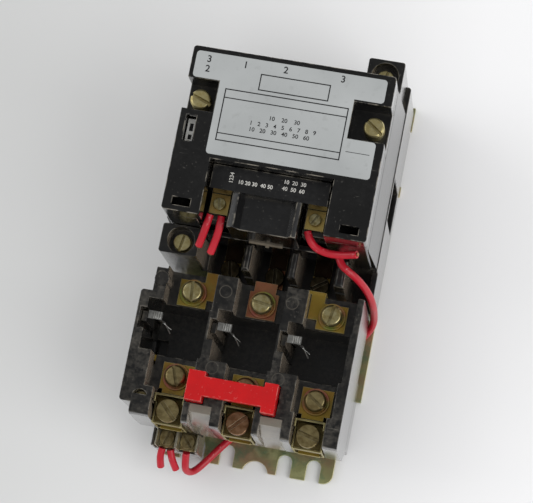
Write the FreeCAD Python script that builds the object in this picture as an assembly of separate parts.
"""Three-pole magnetic motor starter: contactor and melting-alloy overload relay on one plate.

Millimetres. The starter lies on its back: the plate's back is z = 0, the cover faces +Z,
the line terminals are at +Y and the motor lugs at -Y. While it is modelled, x = 0 is the
middle overload pole and y = 0 the row of upper heater screws. Each piece is moved by ORIGIN
when it is written, so that the middle of the starter's outline, at the back, is the origin.
"""
import FreeCAD, Part
import math
import os

V = FreeCAD.Vector
os.makedirs("parts", exist_ok=True)

# ------------------------------------------------------------------ clearances
SEAT_GAP = 0.3          # between two bodies that rest on or pass each other
FIT_GAP = 0.15          # round a fixed piece in its pocket
HOLE_GAP = 0.15         # radial, round a screw shank
PASS_GAP = 0.3          # radial, where a shank passes freely
PIN_GAP = 0.05          # radial, round a bearing pin
SPRING_GAP = 0.1        # between a spring's end and its seat
SMALL_SPRING_GAP = 0.05
WASHER_GAP = 0.1
TIP_GAP = 0.2           # between a fixing screw's tip and the back of the plate
THREAD_ROOM = 2.0       # a threaded hole runs this far past its screw's tip
CUT_OVER = 1.0          # how far a cutting block runs past the face it opens
EDGE_R = 1.5            # upright corners of the mouldings

# ------------------------------------------------------------------ screws
BASE_SCREW_R = 2.1
BASE_SCREW_HEAD_R = 3.9
BASE_SCREW_HEAD_H = 3.4
LOCK_WASHER_T = 0.8
LOCK_WASHER_R = 4.1
COVER_SCREW_R = 2.2
COVER_HEAD_R = 4.55
COVER_HEAD_H = 7.0
COVER_HEAD_RIM = 1.2
COVER_SCREW_BITE = 11.0     # how far it reaches into the base's boss
TERMINAL_SCREW_R = 2.0
TERMINAL_HEAD_R = 4.4
TERMINAL_HEAD_H = 3.6
TERMINAL_SCREW_BITE = 10.0
HEATER_SCREW_R = 1.9
HEATER_HEAD_R = 4.6
HEATER_HEAD_H = 3.3
HEATER_SCREW_BITE = 9.0
LUG_SCREW_R = 3.0
LUG_HEAD_H = 3.2
LUG_HEAD_DEPTH = 1.4        # its top lies this far below the box lug's rim
LUG_SCREW_REACH = 3.4       # its tip stands this far below the lug's threaded bridge
COIL_SCREW_R = 1.5
COIL_HEAD_R = 2.7
COIL_HEAD_H = 1.9
COIL_SCREW_BITE = 5.0
CONTROL_SCREW_R = 1.6
CONTROL_HEAD_R = 3.4
CONTROL_HEAD_H = 2.2
CONTROL_SCREW_BITE = 6.0
INTERLOCK_SCREW_R = 1.3
INTERLOCK_HEAD_R = 2.5
INTERLOCK_HEAD_H = 2.0
INTERLOCK_SCREW_BITE = 7.6
RELAY_SCREW_R = 1.9
RELAY_HEAD_R = 3.0
RELAY_HEAD_H = 2.4
HOUSING_SCREW_R = 1.5
HOUSING_HEAD_R = 2.7
HOUSING_HEAD_H = 2.2
HOUSING_SCREW_BITE = 8.0
SCREW_RIM = 0.5
SMALL_RIM = 0.3             # rounding of the small screws' heads

# ------------------------------------------------------------------ overload relay from above
PLATE_T = 2.0
POLE_PITCH = 31.75
HALF_PITCH = POLE_PITCH / 2
POLES = [POLE_PITCH * i for i in (-1, 0, 1)]
BAY_LEFT = 17.3         # from a pole's centre line to its bay's left wall
BAY_RIGHT = 10.5
BAY_LEN = 23.0
BAY_Y1 = -7.0
BAY_Y0 = BAY_Y1 - BAY_LEN
UPPER_HALF_W = 11.1
LOWER_HALF_W = 9.1
LEFT_POLE_EXTRA = 2.6   # the left pole's lower well is this much wider on its left
KNEE_Y = BAY_Y0 + 4.2
HEATER_SPACING = 38.8
LUG_POCKET_Y1 = -HEATER_SPACING - 6.1
LUG_X_SHIFT = -0.25
LUG_HALF = 6.9
LUG_WALL = 1.3
LUG_HEAD_R = LUG_HALF - LUG_WALL - 0.4
LUG_POCKET_GAP = 0.4
LUG_Y = LUG_POCKET_Y1 - LUG_HALF - 2.8
RELAY_RIGHT = POLES[2] + BAY_RIGHT + 3.35
RELAY_LEFT = POLES[0] - 16.55
RELAY_Y1 = 8.5
RELAY_LEFT_STEP = 5.0
RELAY_STEP_DEPTH = 1.2
FLANGE_LEFT = RELAY_LEFT - 5.2
FLANGE_Y0 = LUG_Y + 0.3
FLANGE_Y1 = BAY_Y1 + 3.4
RELAY_SCREWS = ((RELAY_LEFT + 3.0, RELAY_Y1 - 6.1), (RELAY_LEFT + 3.7, LUG_Y + 3.2))
RELAY_SCREW_BORE_R = RELAY_HEAD_R + 0.3
HOUSING_SCREW_X = 15.9
HOUSING_SCREWS = ((-HOUSING_SCREW_X, 3.6), (HOUSING_SCREW_X, 3.6), (-42.6, -41.5), (33.0, -50.0))
PLUG_RING_R = 2.9
PLUG_RING_W = 0.35
PLUG_RING_DEPTH = 0.3
PLUG_RINGS = ((-HALF_PITCH, 1.4), (HALF_PITCH - 1.6, 1.4),
              (-HALF_PITCH + 0.6, -33.2), (HALF_PITCH - 1.4, -33.2))
WIRE_GAP_Y = -21.5      # the lower moulding leaves the right side open above this line
WIRE_GAP_X = 31.0

# ------------------------------------------------------------------ overload relay's heights
RELAY_SPLIT = 16.0
RELAY_TOP = 63.0
FLANGE_Z = 23.6
BAY_FLOOR = 26.0
SHELF_Z = RELAY_TOP - 12.6
RELAY_SCREW_SEAT = RELAY_SPLIT - 4.0
RELAY_FRONT = ((LUG_Y + 4.1, RELAY_TOP), (LUG_Y - 2.9, RELAY_TOP - 13.0),
               (LUG_Y - 4.9, RELAY_SPLIT + 8.0), (LUG_Y - 0.4, RELAY_SPLIT))
FRONT_Y = RELAY_FRONT[2][0]
RELAY_BASE_Y0 = RELAY_FRONT[3][0] + 0.8
LUG_TOP = RELAY_TOP - 5.0
LUG_FLOOR = SHELF_Z - 17.2
LUG_NUT_Z = (LUG_TOP - 11.6, LUG_TOP - 8.4)
LUG_SCREW_END = LUG_NUT_Z[0] - LUG_SCREW_REACH
LUG_TONGUE_Z = LUG_FLOOR + LUG_WALL + 0.2
HOUSING_SEAT = PLATE_T + TIP_GAP + HOUSING_HEAD_H

# ------------------------------------------------------------------ relay conductors
STRAP_T = 1.6
WASHER_T = 1.2
HEAD_Z = SHELF_Z + STRAP_T + WASHER_T
PLATE_STRAP_HALF_W = 6.6
UPPER_STRAP_Y = (-6.4, 5.6)
TAB_Y0 = -2.4
TAB_INSET = (2.2, 1.6)
FOOT_REACH = 4.2
LOWER_STRAP_X = (-6.8, 7.4)
LOWER_STRAP_Y1 = 6.0
TONGUE_HALF_W = LUG_HALF - LUG_WALL - 0.6
TONGUE_INSET = 0.6
UPPER_WASHER = (-5.6, 5.6, -5.6, 5.2)
LOWER_WASHER = (-5.8, 6.2, -5.4, 5.4)
WASHER_CORNER_R = 0.8

# ------------------------------------------------------------------ trip mechanism
TRIP_TRAVEL = 3.0
SLIDE_Y0 = -20.0
SLIDE_W = 8.0
SLIDE_T = 6.0
SLIDE_Y1 = SLIDE_Y0 + SLIDE_W
SLIDE_Z0 = RELAY_SPLIT + 0.6
SLIDE_Z1 = SLIDE_Z0 + SLIDE_T
ARM_T = 2.2
ARM_BACK = 2.6          # from a bay's left wall face back to the far side of the arm
ARM_Y0 = SLIDE_Y0 + 3.0
ARM_Y1 = SLIDE_Y1 - 0.4
ARM_TOP = RELAY_TOP - 6.0
ARM_ROOM = 0.8
SLIDE_ROOM = 0.6
SLIDE_ROOF = 1.0
SLIDE_END_ROOM = 0.5
ARM_WALL_T = 2.0
PUSHER_HALF_W = 3.0
SLIDE_X0 = POLES[0] - BAY_LEFT - ARM_BACK
PAWL_T = 0.8
PAWL_REACH = 5.2
PAWL_HOOK = 1.6
PAWL_LIP = 2.6
PAWL_INSET = 0.4
PAWL_WIRE = ((-1.2, 2.2, 0.45), (1.8, 1.6, 5.0), (4.6, -2.4, 9.0))
PAWL_WIRE_R = 0.35
RESET_TRAVEL = TRIP_TRAVEL
RESET_TOP = RELAY_TOP + 7.0
RESET_BAR_T = 3.7
RESET_BLOCK_H = 13.0
STEM_Y = -42.7
STEM_XS = (POLES[0] + 12.15, POLES[1] + 13.1)
STEM_R = 2.0
STEM_BOTTOM = 22.0
RESET_BLOCK_Y = (STEM_Y - 7.1, STEM_Y + 6.5)
RESET_BAR_Y = (STEM_Y - 4.5, STEM_Y + 4.4)
RESET_LEFT_X = (STEM_XS[0] - 4.4, STEM_XS[0] + 3.3)
RESET_RIGHT_X = (STEM_XS[1] - 3.1, STEM_XS[1] + 3.1)
SLIDE_X1 = STEM_XS[1] + 6.4
SPRING_SEAT = 33.0
RESET_SPRING_LEN = 14.0
RESET_COIL_GAP = 0.85
SPRING_SEAT_T = 3.0
STEM_ROOM_Y = (4.6, 4.2)
COLLAR_R = 3.4
COLLAR_T = 2.0
COLLAR_Z = (SPRING_SEAT + RESET_SPRING_LEN, SPRING_SEAT + RESET_SPRING_LEN + COLLAR_T)
CLIP_R = 3.1
CLIP_Z = (SPRING_SEAT - 4.0, SPRING_SEAT - 3.2)
FINGER_HALF_W = 2.4
FINGER_T = 1.8
HOOK_TOP = STEM_BOTTOM + 2.8
HOOK_BACK = STEM_Y - 5.9
CAVITY_HALF_W = 3.6
TRIP_SPRING_Y0 = SLIDE_Y0 - 16.0
TRIP_SPRING_R = 2.0
TRIP_WIRE_R = 0.3
TRIP_SPRING_ROOM = 3.2
FLAG_X0 = RELAY_LEFT + 0.7
FLAG_X1 = FLAG_X0 + 4.2
FLAG_Y0 = SLIDE_Y0 - 11.0
FLAG_Y1 = FLAG_Y0 + 2.6
FLAG_FOOT = SLIDE_Z0 + 3.4
YELLOW_FLAG_TOP = FLAG_FOOT + 16.0

# ------------------------------------------------------------------ control contacts
CONTROL_XS = (POLES[0] - 3.15, POLES[0] + 6.45)
CONTROL_Y = LUG_Y - 8.8
CONTROL_STRIP_W = 4.0
CONTROL_STRIP_Z = RELAY_SPLIT + 2.5
CONTROL_STRIP_T = 1.2
CONTROL_STRIP_END = CONTROL_Y - 4.0
CONTROL_FACE_Y = SLIDE_Y0 - 9.7
CONTROL_BRIDGE_T = 1.2
CONTACT_ROOM = 2.2
CONTROL_CLAMP_LIFT = 1.2
CONTROL_CLAMP_T = 1.0
CONTROL_CLAMP_HALF = (3.9, 4.0)
CONTROL_BLOCK = (CONTROL_XS[0] - 6.4, CONTROL_XS[1] + 5.5, CONTROL_Y - 4.8)
CONTROL_BLOCK_Z0 = 8.0
CONTROL_BARRIER_T = 1.1
CONTROL_BARRIER_TOP = CONTROL_STRIP_Z + 8.5
CONTROL_BARRIER_Y1 = FLANGE_Y0 - 5.6
BRIDGE_X0 = CONTROL_XS[0] - 2.6
BRIDGE_X1 = CONTROL_XS[1] + 2.4
BRIDGE_Y0 = CONTROL_FACE_Y + TRIP_TRAVEL + SEAT_GAP
BRIDGE_Y1 = BRIDGE_Y0 + CONTROL_BRIDGE_T

# ------------------------------------------------------------------ contactor's widths
MAGNET_HALF_W = 26.5
MAGNET_STACK = 20.0
CONTACT_PITCH = 20.9
CONTACT_MID = 0.8
CONTACTS = [CONTACT_MID + CONTACT_PITCH * i for i in (-1, 0, 1)]
CHAMBER_HALF_W = 8.65
BASE_SIDE_WALL = 2.6
INTERLOCK_WALL_T = 2.75
COVER_BOSS_R = COVER_SCREW_R + 1.7
BASE_BOSS_R = COVER_SCREW_R + 1.2
INTERLOCK_STRIP_W = 2.2
INTERLOCK_ROOM = 13.1       # width of the holding interlock's compartment
INTERLOCK_WALL_X = CONTACTS[0] - CHAMBER_HALF_W - INTERLOCK_WALL_T
BASE_HALF_W = INTERLOCK_ROOM + BASE_SIDE_WALL - INTERLOCK_WALL_X
OUTER_FIN_T = 4.4
COVER_HALF_W = BASE_HALF_W - 2.3
SHELL_T = 2.4
EAR_WALL = 1.6
INTERLOCK_X0 = -BASE_HALF_W + BASE_SIDE_WALL
INTERLOCK_XS = (INTERLOCK_X0 + 1.4, INTERLOCK_WALL_X - 1.7)
INTERLOCK_SCREW_XS = (INTERLOCK_X0 + 2.8, INTERLOCK_WALL_X - 2.9)
INTERLOCK_MID = (INTERLOCK_XS[0] + INTERLOCK_XS[1]) / 2
COVER_SCREW_X = -INTERLOCK_MID + 0.3

# ------------------------------------------------------------------ contactor from above
BASE_Y0 = RELAY_Y1 + 3.7
BASE_LEN = 100.2
BASE_Y1 = BASE_Y0 + BASE_LEN
CHAMBER_END = 19.8      # from the base's end to the deep part of a contact chamber
TERMINAL_INSET = 4.4    # from the base's end to a terminal screw
LOAD_Y = BASE_Y0 + TERMINAL_INSET
LINE_Y = BASE_Y1 - TERMINAL_INSET
LOAD_FIN_INSET = 0.4
LINE_FIN_LEN = 12.0
COVER_Y0 = BASE_Y0 + 13.4
FIN_LEN = 12.6
COVER_Y1 = BASE_Y1 - 12.6
MAGNET_Y = (BASE_Y0 + BASE_Y1) / 2 + 1.7
COVER_SCREW_Y = COVER_Y1 - 22.2
EAR_LEFT = (COVER_HALF_W - MAGNET_HALF_W - 4.5, COVER_SCREW_Y - 6.4, COVER_SCREW_Y + 7.6)
EAR_RIGHT = (COVER_HALF_W - MAGNET_HALF_W - 2.2, COVER_SCREW_Y - 7.8, COVER_SCREW_Y + 8.4)
FLAG_WINDOW = (-COVER_HALF_W + 2.9, -COVER_HALF_W + 7.3, EAR_LEFT[1] - 14.2, EAR_LEFT[1] - 2.8)
LOW_POST = (-BASE_HALF_W - SEAT_GAP, -BASE_HALF_W + 17.0, BASE_Y0, COVER_Y0 - SEAT_GAP)
LOW_POST_SCREW = (-BASE_HALF_W + 8.9, BASE_Y0 + 6.4)
HIGH_POST = (BASE_HALF_W - 18.5, BASE_HALF_W - 2.1, COVER_Y1 + SEAT_GAP, BASE_Y1 + 2.5)
HIGH_POST_SCREW = (BASE_HALF_W - 10.2, BASE_Y1 - 5.0)
POST_BORE_R = 6.0
POST_EDGE_R = 1.2
VENT_Y = (MAGNET_Y - 14.0, MAGNET_Y + 6.0)
COVER_SLOT_W = 8.0
COVER_SLOT_L = 3.4
COVER_SLOT_X = COVER_HALF_W - 8.1
COVER_SLOT_Y = COVER_Y0 + 2.6

# ------------------------------------------------------------------ contactor's heights
BASE_FLOOR = PLATE_T + 4.0
BASE_TOP = 45.0
TERMINAL_FLOOR = 28.0
FIN_TOP = BASE_TOP + 17.0
OUTER_FIN_TOP = FIN_TOP - 1.5
FIN_CHAMFER = 1.0
POST_TOP = BASE_TOP + 30.0
POST_SEAT = POST_TOP - 8.6      # floor of a post's counterbore
VENT_Z = (BASE_FLOOR + 4.0, BASE_TOP - 3.0)
SIDE_GAP_TOP = BASE_TOP - 7.0   # the side wall is cut down to here by the load terminals
TRAVEL = 5.5
CARRIER_T = 4.7
ARMATURE_T = 9.5
CARRIER_Z0 = BASE_TOP + SEAT_GAP
CARRIER_Z1 = CARRIER_Z0 + CARRIER_T
ARMATURE_TOP = CARRIER_Z1 + ARMATURE_T
POLE_FACE_Z = ARMATURE_TOP + TRAVEL + SEAT_GAP
SHELF_T = 3.8
SHELF_BOTTOM = POLE_FACE_Z + 0.7
SHELF_TOP = SHELF_BOTTOM + SHELF_T
SILL_Z = SHELF_BOTTOM - 4.0
COIL_H = 22.2
MAGNET_BACK = 9.0
BOBBIN_Z0 = SHELF_TOP
BOBBIN_Z1 = BOBBIN_Z0 + COIL_H
COVER_TOP = BOBBIN_Z1 + MAGNET_BACK + TIP_GAP + SHELL_T
COVER_DEPTH = 10.6
PARTING_Z = COVER_TOP - COVER_DEPTH     # where the cover meets the magnet housing
EAR_SEAT = COVER_TOP - 12.6
EAR_Z = EAR_SEAT - 7.0
COVER_SCREW_END = BASE_TOP - COVER_SCREW_BITE
TERMINAL_SCREW_END = TERMINAL_FLOOR - TERMINAL_SCREW_BITE
FLAG_TOP = COVER_TOP - 5.6

# ------------------------------------------------------------------ magnet and coil
MAGNET_LEG = 5.9
MAGNET_CORE = 12.0
SHADING_T = 1.2
SHADING_H = 2.2
SHADING_X = MAGNET_HALF_W - 2.8
BOBBIN_T = 1.5
BOBBIN_WALL = 0.9
WINDING_T = 12.0
WINDING_Y0 = MAGNET_Y - MAGNET_STACK / 2 - SEAT_GAP - WINDING_T
COIL_HALF_W = MAGNET_HALF_W - MAGNET_LEG - SEAT_GAP
WINDOW_X0 = -MAGNET_HALF_W - 1.5
WINDOW_X1 = MAGNET_HALF_W - 0.2
WINDOW_Y1 = MAGNET_Y - MAGNET_STACK / 2 - 3.2
WINDOW_SIDE = 2.2       # the housing's window is wider than the cover's on the left
COIL_FRONT_Y = WINDING_Y0 - 1.9     # where the coil's front block meets its winding
COIL_FACE_Y1 = WINDOW_Y1 - 0.2
COIL_FACE_X = (WINDOW_X0 + 0.7, WINDOW_X1 - 1.3)
COIL_FACE_Z = COVER_TOP - 7.6
COIL_SEAT_Z = COIL_FACE_Z - 12.8
COIL_NOSE_Z = (COIL_FACE_Z - 4.4, COIL_FACE_Z - 1.6, COIL_FACE_Z - 0.8)
COIL_BLOCK_Y0 = COVER_Y0 - 1.4
COIL_TERMINAL_Y = COIL_FRONT_Y - 4.6
COIL_TERMINAL_XS = (WINDOW_X0 + 5.3, WINDOW_X1 - 6.4)
COIL_SEAT_HALF_W = 5.0
COIL_SEAT_STEP = 4.2
NOSE_SIDE = (5.9, 6.1)
COIL_CLAMP_T = 1.2
COIL_CLAMP_LIFT = 1.6
COIL_CLAMP_HALF = (4.2, 4.5)
TONGUE_X = (-9.0, 6.2)
TONGUE_OUT = 0.8
RIB_X = (-1.4, 0.2)

# ------------------------------------------------------------------ moving contacts
CARRIER_HALF_W = 29.5
CARRIER_HALF_L = 21.5
CHEEK_T = 2.6
CHEEK_H = 7.5
CHEEK_HALF_W = 7.0
PIN_Z = CARRIER_Z1 + 4.4
PIN_R = 1.5
STEM_HALF_W = 6.2
STEM_HALF_L = 5.0
STEM_END = BASE_FLOOR + 2.0
STEM_FLOOR = STEM_END + 2.4
STEM_ROOM = 1.0
STRIP_T = 1.6
STRIP_W = 8.0
STRIP_REACH = 16.5      # from the contact centre line to a strip's inner end
BUTTON_T = 0.8
BUTTON_R = 2.6
BUTTON_EDGE = 0.5
BRIDGE_T = 1.6
BRIDGE_END = 1.6
CLAMP_T = 1.5
CLAMP_HALF = (5.4, 4.2)
STATION_BUTTON_Z = TERMINAL_FLOOR - BUTTON_T
MOVING_BUTTON_Z = STATION_BUTTON_Z - TRAVEL - SEAT_GAP
BRIDGE_Z1 = MOVING_BUTTON_Z - BUTTON_T
BRIDGE_Z0 = BRIDGE_Z1 - BRIDGE_T
CONTACT_SPRING_R = 2.6
SPRING_WIRE_R = 0.4
RETURN_SPRING_R = 3.6
RETURN_SPRING_Y = MAGNET_STACK / 2 + FIT_GAP + CHEEK_T + RETURN_SPRING_R + SPRING_WIRE_R + 0.55

# ------------------------------------------------------------------ holding interlock
INTERLOCK_STRIP_T = 1.2
INTERLOCK_PAD_HALF_W = 2.5
INTERLOCK_PAD_L = 9.0
INTERLOCK_FLOOR = BASE_TOP - 6.4
INTERLOCK_Y0 = MAGNET_Y - 2.0
INTERLOCK_BUTTON_R = 1.0
INTERLOCK_BUTTON_T = 0.6
INTERLOCK_BRIDGE_W = 4.0
INTERLOCK_BRIDGE_T = 1.0
INTERLOCK_BRIDGE_EDGE = 0.3
INTERLOCK_SCREW_Y = BASE_Y1 - 5.0
INTERLOCK_SCREW_END = INTERLOCK_FLOOR - INTERLOCK_SCREW_BITE
INTERLOCK_BRIDGE_Z1 = INTERLOCK_FLOOR - TRAVEL - SEAT_GAP - INTERLOCK_BUTTON_T
INTERLOCK_BRIDGE_Z0 = INTERLOCK_BRIDGE_Z1 - INTERLOCK_BRIDGE_T
HOLDER_HALF_W = 1.5
HOLDER_WALL = 2.0
HOLDER_FLOOR_T = 1.8
HOLDER_ROOM = 0.8
HOLDER_Z0 = INTERLOCK_BRIDGE_Z0 - 5.8
HOLDER_Y0 = INTERLOCK_Y0 - HOLDER_WALL
HOLDER_Y1 = INTERLOCK_Y0 + INTERLOCK_BRIDGE_W + HOLDER_WALL
INTERLOCK_SPRING_R = 1.0
INTERLOCK_WIRE_R = 0.25

# ------------------------------------------------------------------ label
LABEL_T = 0.4
LABEL_Z = COVER_TOP + LABEL_T
LABEL_X0 = -COVER_HALF_W + 1.9
LABEL_X1 = COVER_HALF_W - 3.5
LABEL_TOP = COVER_Y1 - 2.2
LABEL_BAND = (EAR_LEFT[2] + 0.4, EAR_RIGHT[2] + 0.9)
LABEL_LOW = WINDOW_Y1 + 1.9
LABEL_STEP_LEFT = -COVER_HALF_W + EAR_LEFT[0] + 0.4
LABEL_STEP_RIGHT = COVER_HALF_W - EAR_RIGHT[0] - 0.2
LABEL_STEP_LOW = EAR_RIGHT[1] - 0.5
LABEL_CORNER_R = 1.6

# ------------------------------------------------------------------ mounting plate
PLATE_HALF_W = BASE_HALF_W + 0.4
PLATE_TOP = BASE_Y1 + 9.4
PLATE_BOTTOM = CONTROL_BLOCK[2] - 1.0
PLATE_SHOULDER_TOP = BASE_Y1 + 2.2
PLATE_SHOULDER_LOW = -29.0
TOP_TONGUE_HALF_W = 13.0
LOW_TONGUE_HALF_W = 41.0
TONGUE_CORNER_R = 4.5
TOP_HOLE_R = 2.7
TOP_HOLE_EDGE = 4.6     # from the plate's top edge to the hole's centre
EDGE_NOTCH = 2.4
EDGE_NOTCHES = ((BASE_Y0 - 2.5, BASE_Y0 + 58.4), (BASE_Y0 + 63.4, BASE_Y1 - 9.4))
SLOT_LEN = 10.0
SLOT_W = 6.6
SLOT_XS = (-9.1, 18.0, 31.7)
WIDE_SLOT_X = -25.4
WIDE_SLOT_W = 11.0
WIDE_SLOT_LEN = 12.0
ROUND_NOTCH_X = 5.0
ROUND_NOTCH_R = 6.1
ROUND_NOTCH_DEPTH = 4.8

# ------------------------------------------------------------------ wires
WIRE_D = 3.4
WIRE_HOLE_X = 30.6      # where the jumper comes out of the housing's front wall
WIRE_HOLE_Z = 62.9
JUMPER_ROUTE = (
    (30.3, 29.4, 62.8), (30.7, 25.5, 62.9), (32.4, 22.2, 63.1), (35.7, 20.0, 62.8),
    (39.6, 18.2, 59.6), (43.4, 15.8, 53.8), (46.4, 13.0, 46.4), (48.0, 10.5, 38.6),
    (48.2, 9.9, 29.6), (48.0, 8.6, 21.0), (47.7, 6.2, 13.2), (45.0, 2.4, 8.2),
    (40.0, -3.8, 5.9), (31.6, -12.8, 5.0), (21.4, -23.0, 4.8), (11.2, -34.2, 4.9),
    (2.0, -44.8, 5.0), (-6.2, -53.8, 5.1), (-13.2, -62.6, 5.3), (-18.4, -70.2, 5.9),
    (-22.4, -75.4, 8.0), (-25.0, -76.4, 12.8), (-25.4, -73.4, 17.4), (-25.3, -68.3, 21.0),
)
LEFT_TAILS = (
    ((-26.2, 30.1, 85.4), (-27.0, 27.0, 85.0), (-28.8, 23.4, 82.4), (-30.6, 20.2, 79.6),
     (-31.8, 16.8, 77.8)),
    ((-20.8, 30.1, 85.4), (-21.3, 27.0, 85.0), (-22.6, 23.2, 82.4), (-24.2, 19.6, 79.6),
     (-26.0, 15.6, 77.4)),
)
RIGHT_TAIL = (
    (17.4, 30.0, 85.4), (18.6, 27.0, 85.0), (21.6, 23.9, 83.4), (26.0, 22.5, 82.6),
    (31.0, 22.2, 83.2), (36.0, 22.6, 84.8), (40.6, 23.2, 87.2),
)
CONTROL_TAILS = (
    ((-36.6, -68.0, 20.8), (-37.1, -70.8, 19.8), (-37.0, -73.6, 17.6), (-36.6, -76.4, 15.2)),
    ((-32.8, -68.2, 20.8), (-32.1, -70.8, 19.7), (-30.7, -73.8, 17.4), (-29.5, -76.8, 15.2)),
)
CHANNEL_CLEAR = 0.8     # round the jumper wire where it passes under the relay

# ------------------------------------------------------------------ frame
ORIGIN = V(-(FLANGE_LEFT + PLATE_HALF_W) / 2, -(PLATE_BOTTOM + PLATE_TOP) / 2, 0)


# ------------------------------------------------------------------ shape helpers
def block(x0, x1, y0, y1, z0, z1):
    return Part.makeBox(x1 - x0, y1 - y0, z1 - z0, V(x0, y0, z0))


def rod(x, y, z0, z1, r):
    return Part.makeCylinder(r, z1 - z0, V(x, y, z0))


def rod_y(x, z, y0, y1, r):
    return Part.makeCylinder(r, y1 - y0, V(x, y0, z), V(0, 1, 0))


def tube(x, y, z0, z1, outer_r, inner_r):
    return rod(x, y, z0, z1, outer_r).cut(rod(x, y, z0 - CUT_OVER, z1 + CUT_OVER, inner_r))


def prism(points, direction):
    wire = Part.makePolygon(points + [points[0]])
    return Part.Face(wire).extrude(direction)


def prism_z(outline, z0, z1):
    return prism([V(x, y, z0) for x, y in outline], V(0, 0, z1 - z0))


def prism_x(profile, x0, x1):
    return prism([V(x0, y, z) for y, z in profile], V(x1 - x0, 0, 0))


def prism_y(profile, y0, y1):
    return prism([V(x, y0, z) for x, z in profile], V(0, y1 - y0, 0))


def join(shapes):
    whole = shapes[0]
    if len(shapes) > 1:
        whole = whole.fuse(shapes[1:])
    return whole.removeSplitter()


def carve(shape, tools):
    return shape.cut(tools).removeSplitter() if tools else shape


def upright_edges(shape, x0, x1, y0, y1):
    """Edges along Z whose foot lies inside the given rectangle."""
    found = []
    for edge in shape.Edges:
        box = edge.BoundBox
        upright = box.XLength < 0.01 and box.YLength < 0.01 and box.ZLength > 0.5
        if upright and x0 <= box.Center.x <= x1 and y0 <= box.Center.y <= y1:
            found.append(edge)
    return found


def top_edges(shape, z):
    """Edges that lie flat at height z."""
    flat = [e for e in shape.Edges if e.BoundBox.ZLength < 0.001]
    return [e for e in flat if abs(e.BoundBox.ZMin - z) < 0.001]


def helix_spring(x, y, z0, z1, coil_r, wire_r, turns):
    """Compression spring whose wire's outside just fills z0 to z1."""
    height = z1 - z0 - 2 * wire_r
    path = Part.makeHelix(height / turns, height, coil_r)
    ring = Part.Wire([Part.makeCircle(wire_r, V(coil_r, 0, 0), V(0, 1, 0))])
    spring = Part.Wire(path.Edges).makePipeShell([ring], True, True)
    spring.translate(V(x, y, z0 + wire_r))
    return spring


def slotted_screw(x, y, seat, head_r, head_h, shank_r, end, angle, rim=SCREW_RIM):
    """Cheese-head screw: seat is the underside of the head, end the tip of the shank."""
    head = rod(x, y, seat, seat + head_h, head_r)
    head = head.makeFillet(rim, top_edges(head, seat + head_h))
    cut = block(-head_r - 1, head_r + 1, -0.16 * head_r, 0.16 * head_r, 0, head_h)
    cut.rotate(V(0, 0, 0), V(0, 0, 1), angle)
    cut.translate(V(x, y, seat + 0.55 * head_h))
    return join([head.cut(cut), rod(x, y, end, seat, shank_r)])


def saddle_clamp(x, y, z, half_w, half_l, thick, drop):
    """Pressure plate with its two long sides turned down by drop."""
    top = block(x - half_w, x + half_w, y - half_l, y + half_l, z, z + thick)
    sides = [block(x + s * half_w - (thick if s > 0 else 0), x + s * half_w + (thick if s < 0 else 0),
                   y - half_l, y + half_l, z - drop, z) for s in (-1, 1)]
    return join([top] + sides)


def bent_wire(route, diameter, name):
    """Tube of straight runs and tangent arcs along the route."""
    points = [V(*p) for p in route]
    edges = []
    start = points[0]
    tightest = None
    for before, corner, after in zip(points, points[1:], points[2:]):
        run_in, run_out = before - corner, after - corner
        shorter = min(run_in.Length, run_out.Length)
        run_in.normalize()
        run_out.normalize()
        half_turn = (math.pi - run_in.getAngle(run_out)) / 2
        trim = 0.45 * shorter
        radius = trim / math.tan(half_turn)
        tightest = radius if tightest is None else min(tightest, radius)
        a, b = corner + run_in * trim, corner + run_out * trim
        inward = run_in + run_out
        inward.normalize()
        middle = corner + inward * (radius / math.cos(half_turn) - radius)
        edges += [Part.LineSegment(start, a).toShape(), Part.Arc(a, middle, b).toShape()]
        start = b
    edges.append(Part.LineSegment(start, points[-1]).toShape())
    path = Part.Wire(edges)
    ring = Part.Wire([Part.makeCircle(diameter / 2, points[0], points[1] - points[0])])
    wire = path.makePipeShell([ring], True, True)
    expected = math.pi * diameter ** 2 / 4 * path.Length
    print(f"{name}: length {path.Length:.1f}, tightest radius {tightest:.1f}, "
          f"volume / expected {wire.Volume / expected:.4f}")
    return wire


def save(name, *pieces):
    """Write one node: each piece has to be one closed solid."""
    solids = []
    for piece in pieces:
        if len(piece.Solids) != 1 or not piece.isValid():
            print(f"CHECK {name}: {len(piece.Solids)} solids, valid {piece.isValid()}")
        solids += piece.Solids
    shape = solids[0] if len(solids) == 1 else Part.makeCompound(solids)
    shape = shape.copy()
    shape.translate(ORIGIN)
    shape.exportStep(f"parts/{name}.step")


# ------------------------------------------------------------------ mounting plate
def open_slot(x, width, length):
    """Slot with a round end, open at the plate's lower edge."""
    r = width / 2
    end = PLATE_BOTTOM + length - r
    straight = block(x - r, x + r, PLATE_BOTTOM - CUT_OVER, end, -CUT_OVER, PLATE_T + CUT_OVER)
    return join([straight, rod(x, end, -CUT_OVER, PLATE_T + CUT_OVER, r)])


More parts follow.
